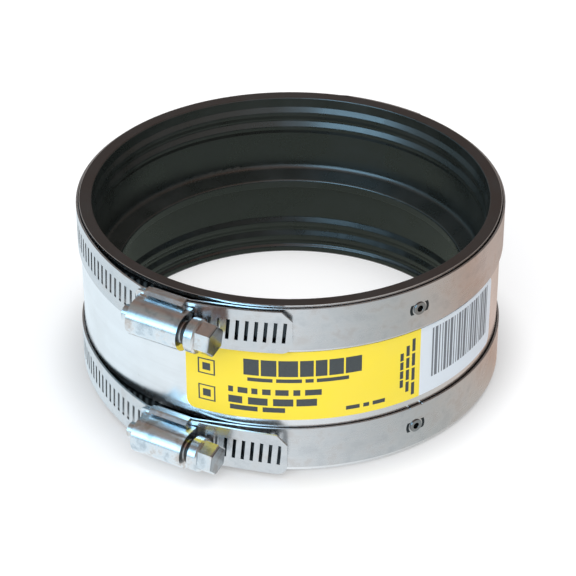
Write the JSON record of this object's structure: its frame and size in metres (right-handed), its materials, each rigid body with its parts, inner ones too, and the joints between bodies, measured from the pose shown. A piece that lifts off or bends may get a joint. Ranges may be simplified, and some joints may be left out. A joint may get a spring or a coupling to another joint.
{
  "type": "shielded pipe coupling",
  "caption": "Round pipe coupling: a ribbed rubber sleeve with a centre stop inside a thin stainless shield, held by slotted worm drive band clamps with hex screws.",
  "frame": {"origin": "on the bore axis, in the plane of the rubber sleeve's lower end face", "axes": "+Z along the bore towards the upper socket, worm screws along X with their hex heads towards +X, clamp housings on the -Y side"},
  "size_m": [0.1254, 0.1371, 0.055],
  "materials": {
    "rubber": "matte",
    "shield_steel": "brushed",
    "strip_steel": "brushed",
    "pressed_steel": "satin",
    "screw_steel": "satin",
    "label": "gloss"
  },
  "bodies": {
    "sleeve": {"gasket": "rubber", "shield": "shield_steel", "label": "label", "upper_band": "strip_steel", "upper_saddle": "pressed_steel", "upper_housing": "pressed_steel", "upper_rivet": "screw_steel", "lower_band": "strip_steel", "lower_saddle": "pressed_steel", "lower_housing": "pressed_steel", "lower_rivet": "screw_steel"},
    "upper_worm": {"upper_screw": "screw_steel"},
    "lower_worm": {"lower_screw": "screw_steel"}
  },
  "joints": [
    {"name": "upper_screw_turn", "type": "hinge", "parent": "sleeve", "child": "upper_worm", "pos_m": [0, -0.0691, 0.04765], "axis": [1, 0, 0], "continuous": true},
    {"name": "lower_screw_turn", "type": "hinge", "parent": "sleeve", "child": "lower_worm", "pos_m": [0, -0.0691, 0.00795], "axis": [1, 0, 0], "continuous": true}
  ]
}
